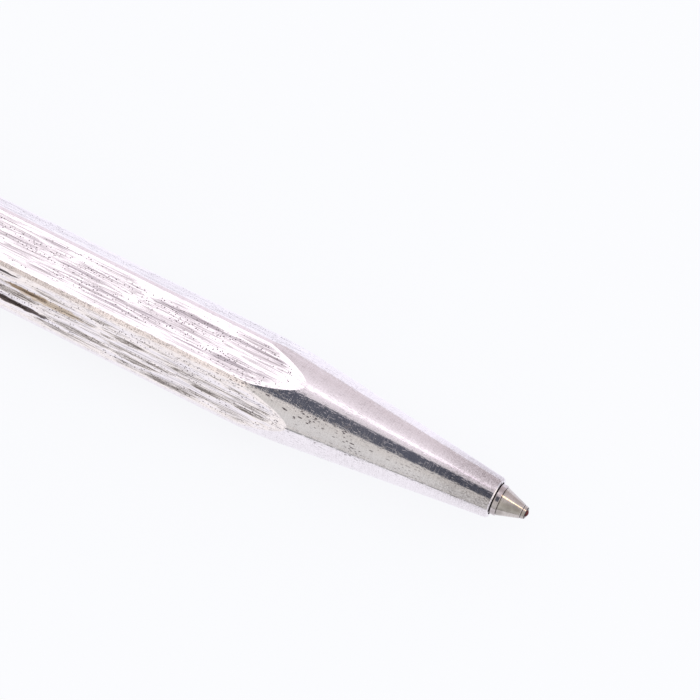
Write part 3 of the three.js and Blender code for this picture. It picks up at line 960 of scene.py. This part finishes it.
@dataclass
class Refill:
    """The front of the refill: its nose, its writing point and its ball."""

    reach: float = 2.85 * MM
    nose_reach: float = 0.5 * MM
    nose_radius: float = 1.3 * MM
    nose_edge: float = 0.06 * MM
    nose_groove: Pair = mm(-0.09, 0.07)
    groove_depth: float = 0.06 * MM
    groove_slant: float = 0.02 * MM
    step_behind: float = 12.5 * MM
    step_radius: float = 1.63 * MM
    shoulder: Pair = mm(21.5, 22.1)
    shoulder_radius: float = 2.9 * MM
    spigot_radius: float = 2.51 * MM
    spigot_back: float = 26.1 * MM
    channel: float = 0.7 * MM
    seat_radius: float = 0.99 * MM
    seat_back: float = 3.5 * MM
    point_base: float = 1.22 * MM
    point_front: float = 2.7 * MM
    point_groove: float = 0.035 * MM
    lip_groove: tuple[float, ...] = mm(0.26, 0.30, 0.36, 0.40)  # behind the point's front
    foot_groove: Pair = mm(0.07, 0.05)  # before the point's foot
    tail_radius: float = 0.95 * MM
    tail_length: float = 4.0 * MM
    ball_radius: float = 0.4 * MM
    ball_play: float = 0.04 * MM
    ball_seat: Pair = mm(-0.11, 0.22)  # before and behind the ball's middle
    lip_wall: float = 0.09 * MM
    lip_edge: float = 0.05 * MM
    feed_hole: float = 0.18 * MM
    feed_length: float = 1.33 * MM

    def nose(self) -> Piece:
        """Turns the nose, with its step and the shoulder that the spring pushes on.

        Returns:
            The nose.
        """
        front, radius, edge = -self.nose_reach, self.nose_radius, self.nose_edge
        outline = [
            (front, self.seat_radius),
            (front, radius - edge),
            (front + 0.3 * edge, radius - 0.3 * edge),
            (front + edge, radius),
            *groove(*self.nose_groove, radius, self.groove_depth, self.groove_slant),
            *stepped(
                radius,
                (self.step_behind, self.step_radius),
                (self.shoulder[0], self.shoulder_radius),
                (self.shoulder[1], self.spigot_radius),
                (self.spigot_back, self.channel),
                (self.seat_back, self.seat_radius),
            ),
        ]
        return shade(turned("refill_front", outline), 35)

    def point(self) -> Piece:
        """Turns the writing point, with a groove at its foot and one behind the lip that holds the ball.

        Returns:
            The writing point.
        """
        front, base, middle = -self.point_front, -self.nose_reach, self.ball_radius - self.reach
        lip, room = self.ball_radius + self.lip_wall, self.ball_radius + self.ball_play
        run, sunk = base - front, self.point_groove
        grow = (self.point_base - lip) / run
        mouth = math.sqrt(self.ball_radius**2 - (middle - front) ** 2) + self.ball_play / 2
        behind_lip = list(zip(self.lip_groove, (0, sunk, sunk, 0)))
        foot = [(run - self.foot_groove[0], 0), (run - self.foot_groove[1], sunk), (run, sunk)]
        outline = [
            (front, mouth),
            (front, lip - 0.8 * self.lip_edge),
            (front + self.lip_edge, lip + 0.2 * self.lip_edge),
            *((front + way, lip + grow * way - sink) for way, sink in behind_lip + foot),
            (base, self.tail_radius),
            *stepped(
                self.tail_radius,
                (base + self.tail_length, self.channel),
                (base + self.feed_length, self.feed_hole),
            ),
            (middle + room, self.feed_hole),
            (middle + self.ball_seat[1], room),
            (middle + self.ball_seat[0], room),
        ]
        return shade(turned("point_cone", outline), 25)

    def ball(self) -> Piece:
        """Makes the ball from a cube, rounded to a sphere.

        Returns:
            The ball.
        """
        deselect_all()
        bpy.ops.mesh.primitive_cube_add(size=2 * self.ball_radius)
        piece = bpy.context.object
        piece.name = piece.data.name = "point_ball"
        open_mesh(piece, "SELECT")
        bpy.ops.mesh.subdivide(number_cuts=13)
        bpy.ops.transform.tosphere(value=1.0)
        face_out()
        close_mesh()
        share = self.ball_radius / max(v.co.length for v in piece.data.vertices)
        open_mesh(piece, "SELECT")
        bpy.ops.transform.resize(value=(share, share, share), center_override=(0, 0, 0))
        bpy.ops.transform.translate(value=(self.reach - self.ball_radius, 0, 0))
        close_mesh()
        return shade(piece, 60)

    def build(self) -> None:
        """Makes the pieces and lets them ride."""
        nose = PlainMetal("turned nickel silver", (0.66, 0.61, 0.61, 1), (0.42, 0.38, 0.37, 1), 0.11)
        # The rings in these grooves are darkened as painted shade.
        nose = replace(nose, ring_shade=0.7, grooves=(mm(-0.05, 0.07),))
        point = PlainMetal("nickel silver of the point", (0.60, 0.56, 0.525, 1), (0.38, 0.35, 0.325, 1), 0.09)
        point = replace(point, ring_shade=0.5, grooves=(mm(0.50, 0.54), mm(2.34, 2.39), mm(2.64, 2.75)))
        wet, dry = (0.12, 0.035, 0.035, 1), (0.05, 0.015, 0.02, 1)
        ball = PlainMetal("ball wet with ink", wet, dry, 0.15, Grain.EVEN)
        settle(self.nose(), "refill", nose.make(), "refill_nose")
        settle(self.point(), "refill", point.make(), "writing_point")
        settle(self.ball(), "ball", ball.make(), "writing_ball")


@dataclass
class Tail:
    """What shows behind the barrel: the end collar and the push button."""

    collar_front: float = 108.1 * MM
    sleeve_radius: float = 2.97 * MM
    collar_inside: float = 2.59 * MM
    thread_pitch: float = 1.0 * MM
    thread_depth: float = 0.16 * MM
    thread_turns: int = 8
    ring_back: float = 118.4 * MM
    flange_back: float = 120.0 * MM
    flange_radius: float = 3.55 * MM
    flange_grooves: tuple[Pair, ...] = (mm(0.42, 0.60), mm(0.98, 1.16))  # behind the clip's ring
    flange_round: float = 0.25 * MM
    groove_depths: Pair = mm(0.07, 0.06)  # in the flange and in the button
    neck: Pair = mm(111.85, 112.65)
    neck_radius: float = 1.75 * MM
    button_bore: float = 2.5 * MM
    button_radius: float = 2.4 * MM
    button_front: float = 114.15 * MM
    button_back: float = 125.2 * MM
    boss_back: float = 123.74 * MM
    cup_radius: float = 1.74 * MM
    crown: float = 0.8 * MM
    crown_steps: int = 14
    button_groove: Pair = mm(0.64, 0.46)  # before the crown
    button_slant: float = 0.04 * MM
    mouth_edge: float = 0.06 * MM
    edge: float = 0.05 * MM

    def collar(self) -> Piece:
        """Turns the collar: its thread, and its flange with two fine grooves.

        Returns:
            The collar.
        """
        pitch, outer, flange = self.thread_pitch, self.sleeve_radius, self.flange_radius
        start, bottom = self.collar_front + pitch / 2, outer - self.thread_depth
        turn = ((0.25, bottom), (0.5, bottom), (0.75, outer), (1.0, outer))
        turns = range(self.thread_turns)
        thread = [(start + (i + part) * pitch, radius) for i in turns for part, radius in turn]
        grooves = []
        for first, last in self.flange_grooves:
            ends = self.ring_back + first, self.ring_back + last
            grooves += groove(*ends, flange, self.groove_depths[0], self.edge)
        outline = [
            *stepped(self.collar_inside, (self.collar_front, outer)),
            (start, outer),
            *thread,
            *stepped(outer, (self.ring_back, flange - self.edge)),
            (self.ring_back + self.edge, flange),
            *grooves,
            (self.flange_back - self.flange_round, flange),
            (self.flange_back - 0.36 * self.flange_round, flange - 0.32 * self.flange_round),
            (self.flange_back, flange - self.flange_round),
            (self.flange_back, self.button_bore + self.mouth_edge),
            (self.flange_back - self.mouth_edge, self.button_bore),
            *stepped(self.button_bore, (self.neck[1], self.neck_radius), (self.neck[0], self.collar_inside)),
        ]
        return shade(turned("tail_collar", outline), 30)

    def button(self) -> Piece:
        """Turns the push button: a cup with a domed end.

        Returns:
            The button.
        """
        front, radius, crown = self.button_front, self.button_radius, self.button_back - self.crown
        ends = crown - self.button_groove[0], crown - self.button_groove[1]
        turns = [math.pi / 2 * i / self.crown_steps for i in range(self.crown_steps)]
        outline = [
            *stepped(self.cup_radius, (front, radius - self.edge)),
            (front + self.edge, radius),
            *groove(*ends, radius, self.groove_depths[1], self.button_slant),
            *((crown + self.crown * math.sin(turn), radius * math.cos(turn) ** 0.4) for turn in turns),
            (self.button_back, 0),
            *stepped(0, (self.boss_back, self.cup_radius)),
        ]
        return shade(turned("silver_button", outline), 30)

    def build(self) -> None:
        """Makes the pieces and lets them ride."""
        silver = SilverPlate("polished silver of the tail").make()
        settle(self.collar(), "mechanism", silver, "end_collar")
        settle(self.button(), "button", silver, "push_button")


@dataclass
class Clip:
    """The clip: a six-sided ring with a tab that rises from it, and a springy arm."""

    ring_front: float = 117.8 * MM
    ring_back: float = 118.4 * MM
    ring_hole: float = 3.07 * MM
    ring_flat: float = 3.6 * MM
    ring_radius: float = 4.065 * MM
    tab_top: float = 5.9 * MM
    tab_width: float = 3.6 * MM
    bend_radius: float = 0.42 * MM
    tip_width: float = 2.7 * MM
    least_width: float = 0.5 * MM
    ring_edge: float = 0.06 * MM
    arm_edge: float = 0.13 * MM
    thickness: float = 0.7 * MM
    arm_steps: int = 26
    tip_steps: int = 9
    line: tuple[Pair, ...] = (
        mm(117.76, 5.55), mm(109.6, 5.475), mm(95.43, 5.025), mm(85.2, 4.58), mm(81.3, 4.11), mm(77.9, 5.01)
    )

    @property
    def tip(self) -> float:
        """Where the arm ends."""
        return self.line[-1][0]

    @property
    def straight(self) -> float:
        """How long the arm is from its root to where its tip is rounded."""
        return self.line[0][0] - self.tip - self.tip_width / 2

    def ring(self) -> Piece:
        """Makes the ring, and draws the tab up from its top flat.

        Returns:
            The ring with its tab.
        """
        sides = stepped(self.ring_hole, (self.ring_front, self.ring_radius), (self.ring_back, self.ring_hole))
        piece = turned("clip_band", sides)
        mill_flats(piece, self.ring_flat)
        half = self.tab_width / 2
        top_edge = Vector((-self.ring_back, 0, self.tab_top))

        def on_top(face: bmesh.types.BMFace) -> bool:
            """Whether a face lies on the ring's top flat."""
            return face.normal.z > 0.999 and abs(face.calc_center_median().z - self.ring_flat) < SAME

        def on_top_edge(edge: bmesh.types.BMEdge) -> bool:
            """Whether an edge is the one where the tab bends into the arm."""
            return ((edge.verts[0].co + edge.verts[1].co) / 2 - top_edge).length < 10 * SAME

        open_mesh(piece)
        for side in (-half, half):
            choose(piece, on_top)
            bpy.ops.mesh.bisect(plane_co=(0, side, 0), plane_no=(0, 1, 0), threshold=SAME)
        choose(piece, lambda face: on_top(face) and abs(face.calc_center_median().y) < half / 2)
        draw_on(0, 0, self.tab_top - self.ring_flat)
        choose(piece, on_top_edge, "EDGE")
        bpy.ops.mesh.bevel(offset=self.bend_radius, segments=6, affect="EDGES")
        face_out()
        close_mesh()
        ease_edges(piece, self.ring_edge, over=40)
        return shade(piece, 35)

    def height_at(self, behind: float) -> float:
        """The height of the middle of the arm, on a smooth line through its places.

        Args:
            behind: A distance behind the rim.

        Returns:
            The height there.
        """
        points = [self.line[0], *self.line, self.line[-1]]
        for before, first, last, after in zip(points, points[1:], points[2:], points[3:]):
            if first[0] >= behind >= last[0] and first != last:
                share = (first[0] - behind) / (first[0] - last[0])
                run = last[0] - first[0]
                leave = (last[1] - before[1]) / (last[0] - before[0]) * run
                arrive = (after[1] - first[1]) / (after[0] - first[0]) * run
                a, b = share**2, share**3
                start = (2 * b - 3 * a + 1) * first[1] + (b - 2 * a + share) * leave
                return start + (3 * a - 2 * b) * last[1] + (b - a) * arrive
        return points[-1][1]

    def width_at(self, behind: float) -> float:
        """The arm's width, which narrows to a rounded tip.

        Args:
            behind: A distance behind the rim.

        Returns:
            The width there.
        """
        round_off = self.tip_width / 2
        from_tip = behind - self.tip
        if from_tip < round_off:
            half = math.sqrt(max(round_off**2 - (round_off - from_tip) ** 2, 0.0))
            return max(2 * half, self.least_width)
        return self.tip_width + (from_tip - round_off) / self.straight * (self.tab_width - self.tip_width)

    def arm(self) -> Piece:
        """Draws the arm out from its root to its tip, and rounds its edges.

        Returns:
            The arm.
        """
        curve = [math.sin(math.pi / 2 * i / self.tip_steps) for i in range(self.tip_steps + 1)]
        places = [self.line[0][0] - self.straight * i / self.arm_steps for i in range(self.arm_steps)]
        places += [self.tip + self.tip_width / 2 * (1 - turn) for turn in curve]
        width, height = self.width_at(places[0]), self.height_at(places[0])
        deselect_all()
        bpy.ops.mesh.primitive_plane_add(size=1, location=(-places[0], 0, height), rotation=(0, math.pi / 2, 0))
        piece = bpy.context.object
        piece.name = piece.data.name = "clip_spring_arm"
        piece.scale = (self.thickness, width, 1)
        bpy.ops.object.transform_apply(location=True, rotation=True, scale=True)
        open_mesh(piece, "SELECT")
        for before, place in zip(places, places[1:]):
            rise_by = self.height_at(place) - height
            draw_on(-before, -place, rise_by)
            share = self.width_at(place) / width
            bpy.ops.transform.resize(value=(1, share, 1), center_override=(-place, 0, height))
            width, height = width * share, height + rise_by
        face_out()
        close_mesh()
        ease_edges(piece, self.arm_edge, over=50, steps=3)
        return shade(piece, 40)

    def build(self) -> None:
        """Makes the pieces and lets them ride."""
        silver = SilverPlate("polished silver of the clip").make()
        settle(self.ring(), "clip_mount", silver, "clip_ring")
        settle(self.arm(), "clip", silver, "clip_arm")


class Insides(Enum):
    """The finish of each piece that stays as the CAD model has it."""

    BRASS = ("nose_bush", "thread_insert", "rotor_retainer")
    WIRE = ("return_spring",)
    TUBE = ("refill_tube",)
    CAMS = ("cam_sleeve", "cam_rotor", "plunger")
    PLUG = ("refill_plug",)
    INK = ("ink_column",)


def dress_insides() -> None:
    """Gives the pieces inside the pen their finishes."""
    finishes = {
        Insides.BRASS: PlainMetal("turned brass", (0.80, 0.60, 0.30, 1), (0.62, 0.43, 0.20, 1), 0.28),
        Insides.WIRE: PlainMetal("drawn wire", (0.66, 0.67, 0.68, 1), (0.48, 0.49, 0.50, 1), 0.22, Grain.EVEN),
        Insides.TUBE: PlainMetal("drawn tube", (0.74, 0.74, 0.75, 1), (0.60, 0.60, 0.61, 1), 0.3, Grain.ALONG),
        Insides.CAMS: Moulded("ivory plastic", (0.82, 0.79, 0.70, 1), (0.74, 0.71, 0.62, 1)),
        Insides.PLUG: Moulded("white plastic", (0.80, 0.81, 0.81, 1), (0.72, 0.73, 0.73, 1)),
        Insides.INK: Moulded("ink paste", (0.02, 0.03, 0.12, 1), (0.01, 0.015, 0.07, 1), 0.25),
    }
    for kind, finish in finishes.items():
        material = finish.make()
        for name in kind.value:
            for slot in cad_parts[name].material_slots:
                slot.material = material


@dataclass(frozen=True)
class Patch:
    """A part of the room that the polished metal reflects in a tone of its own, with soft sides.

    Each side is a pair: where the patch starts to show, and where it shows in full. Sides over the pen are
    angles in degrees, from the near edge of the table at 0 over the pen to the far edge at 180. Sides along
    the pen are parts of a direction, from -1 at its tail to 1 at its point.
    """

    tone: Colour
    over: tuple[Pair, ...]
    along: tuple[Pair, ...]
    share: float = 1.0

    def on(self, room: Tree, colour: Socket, over: Socket, along: Socket) -> Socket:
        """Paints the patch.

        Args:
            room: The room's node tree.
            colour: What it is painted on.
            over: How far a direction leans over the pen, as a share of half a turn.
            along: Its part along the pen.

        Returns:
            The colour with the patch.
        """
        sides = [room.between(over, start / 180, full / 180) for start, full in self.over]
        sides += [room.between(along, start, full) for start, full in self.along]
        return room.mixed(room.times(self.share, *sides), colour, self.tone)


TAILWARD = (-0.08, -0.17)  # the side of a patch that lies towards the tail


@dataclass
class Studio:
    """The room, the table, and the camera that looks at the pen as the photograph does."""

    aim: tuple[float, float, float] = (45.98, 4.05, 8.21)  # millimetres
    azimuth: float = 28.17
    elevation: float = 67.21
    distance: float = 0.4
    lens: float = 261.8
    table_size: float = 3.0
    table_glow: float = 0.87
    sky: tuple[tuple[float, Colour], ...] = (
        (0.0, (0.69, 0.685, 0.675, 1)),
        (20.0, (0.72, 0.715, 0.70, 1)),
        (40.0, (0.675, 0.655, 0.625, 1)),
        (60.0, (0.69, 0.67, 0.645, 1)),
        (90.0, (0.77, 0.73, 0.76, 1)),
        (101.0, (0.865, 0.80, 0.855, 1)),
        (119.0, (1.00, 0.93, 0.99, 1)),
        (129.0, (0.88, 0.81, 0.86, 1)),
        (139.0, (0.805, 0.74, 0.785, 1)),
        (159.0, (0.75, 0.68, 0.72, 1)),
        (180.0, (0.745, 0.675, 0.71, 1)),
    )
    patches: tuple[Patch, ...] = (
        Patch((0.93, 0.885, 0.875, 1), ((74, 66),), (TAILWARD,), share=0.8),
        Patch((0.58, 0.51, 0.57, 1), ((66, 74), (99, 90)), (TAILWARD,)),
        Patch((1.10, 1.01, 0.95, 1), ((36, 42), (66, 60)), (TAILWARD,)),
        Patch((0.95, 0.865, 0.94, 1), ((158, 168),), (TAILWARD,)),
        Patch((0.24, 0.22, 0.205, 1), ((13, 7), (-1, 0)), (TAILWARD,)),
        Patch((0.095, 0.102, 0.132, 1), ((50, 53), (88.5, 86.5)), ((-0.12, -0.05), (0.40, 0.28))),
        Patch((0.13, 0.095, 0.075, 1), ((-1, 1), (60, 54)), ((-0.247, -0.264), (-0.75, -0.6))),
        Patch((1.48, 1.41, 1.46, 1), ((103, 105.5), (119, 113.5)), ((-0.55, -0.48), (0.070, 0.058))),
        Patch((1.30, 1.12, 1.30, 1), ((104.5, 107), (114, 111.5)), ((0.050, 0.062), (0.13, 0.10))),
        Patch((4.6, 3.6, 2.5, 1), ((103.5, 106), (115.5, 113)), ((0.34, 0.39), (0.55, 0.50))),
        Patch((1.55, 1.45, 1.40, 1), (), ((0.72, 0.84),)),
    )

    def camera(self) -> None:
        """Sets up the camera."""
        turn, lift = math.radians(self.azimuth), math.radians(self.elevation)
        back = Vector((math.sin(turn) * math.cos(lift), -math.cos(turn) * math.cos(lift), math.sin(lift)))
        right = Vector((math.cos(turn), math.sin(turn), 0))
        lens = bpy.data.cameras.new("studio camera")
        lens.sensor_fit, lens.sensor_width, lens.lens = "HORIZONTAL", 36, self.lens
        lens.clip_start, lens.clip_end = 0.01, 20
        camera = bpy.data.objects.new("studio camera", lens)
        bpy.context.scene.collection.objects.link(camera)
        axes = Matrix((right, back.cross(right), back)).transposed().to_4x4()
        camera.matrix_world = Matrix.Translation(Vector(self.aim) * MM + self.distance * back) @ axes
        bpy.context.scene.camera = camera

    def table(self) -> None:
        """Lays the pale table top."""
        deselect_all()
        bpy.ops.mesh.primitive_plane_add(size=self.table_size, location=(0, 0, 0))
        top = bpy.context.object
        top.name = "table_top"
        finish = Finish("pale table", roughness=0.7)
        finish.shader.inputs["Specular IOR Level"].default_value = 0.1
        cloud = finish.noise(60 * MM, detail=2)
        finish.wear(colour=finish.mixed(cloud, (0.93, 0.935, 0.97, 1), (0.95, 0.95, 0.975, 1)))
        # Glossy rays see the painted reflection; the camera sees the table glow evenly.
        glossy = finish.nodes.new("ShaderNodeLightPath").outputs["Is Glossy Ray"]
        colour = finish.mixed(glossy, (0.972, 0.978, 1.0, 1), self._reflected(finish))
        glow = finish.node("ShaderNodeEmission", {"Color": colour, "Strength": 1.0})
        share = finish.times(finish.seen(), self.table_glow)
        both = finish.node("ShaderNodeMixShader", {0: share, 1: finish.shader.outputs[0], 2: glow.outputs[0]})
        finish.links.new(both.outputs[0], finish.output.inputs["Surface"])
        top.data.materials.append(finish.material)

    def _reflected(self, finish: Finish) -> Socket:
        """Painted reflection of the table in the polished metal, in zones beside the pen and further off.

        Args:
            finish: The table's finish.

        Returns:
            The colour.
        """
        along, aside, _ = finish.parts(finish.place)

        def zone(way: Socket, start: float, full: float) -> Socket:
            """How much a zone shows, from its start to where it shows in full, in millimetres."""
            return finish.between(way, start * MM, full * MM)

        beside_bar = zone(along, 41.5, 39.5)
        close_by = finish.mixed(zone(aside, 0, 5), (1.0, 0.985, 1.05, 1), (1.08, 1.055, 1.17, 1))
        far_off = finish.mixed(beside_bar, (0.66, 0.64, 0.61, 1), (1.08, 1.03, 1.00, 1))
        colour = finish.mixed(zone(aside, -25, -28), close_by, far_off)
        # Painted shadow: a thin dark line on the table, seen only in the metal.
        painted_shadow_line = finish.times(zone(aside, -24, -26), zone(aside, -40, -35), zone(along, 39.5, 41.5))
        colour = finish.mixed(painted_shadow_line, colour, (0.17, 0.18, 0.17, 1))
        # Painted shade: a dark zone further off, seen only in the metal.
        painted_dark_zone = finish.times(zone(aside, -58, -125), beside_bar)
        return finish.mixed(painted_dark_zone, colour, (0.20, 0.18, 0.17, 1))

    def room(self) -> None:
        """Paints the room round the table: what the polished metal reflects, and plain light for the rest."""
        world = bpy.data.worlds.new("studio room")
        bpy.context.scene.world = world
        tree = Tree(world)
        along, aside, height = tree.parts(tree.nodes.new("ShaderNodeTexCoord").outputs["Generated"])
        over = tree.sum("ARCTAN2", height, tree.times(aside, -1.0))
        over = tree.times(over, 1 / math.pi)
        ramp = tree.node("ShaderNodeValToRGB", {0: over})
        stops = ramp.color_ramp.elements
        stops.remove(stops[-1])
        for angle, tone in self.sky:
            stop = stops.new(angle / 180) if angle else stops[0]
            stop.color = tone
        colour = ramp.outputs[0]
        for patch in self.patches:
            colour = patch.on(tree, colour, over, along)
        colour = tree.mixed(tree.seen(), (1.0, 1.0, 1.0, 1), colour)
        light = tree.node("ShaderNodeBackground", {"Color": colour, "Strength": 1.0})
        tree.links.new(light.outputs[0], tree.nodes.new("ShaderNodeOutputWorld").inputs["Surface"])

    def build(self) -> None:
        """Sets up the room, the table and the camera."""
        self.camera()
        self.table()
        self.room()
        bpy.context.scene.view_settings.view_transform = "Standard"


def main() -> None:
    """Builds the room and the pen."""
    logging.basicConfig(level=logging.INFO, format="%(name)s: %(message)s")
    Studio().build()
    Barrel().build()
    Refill().build()
    Tail().build()
    Clip().build()
    dress_insides()


if __name__ == "__main__":
    main()
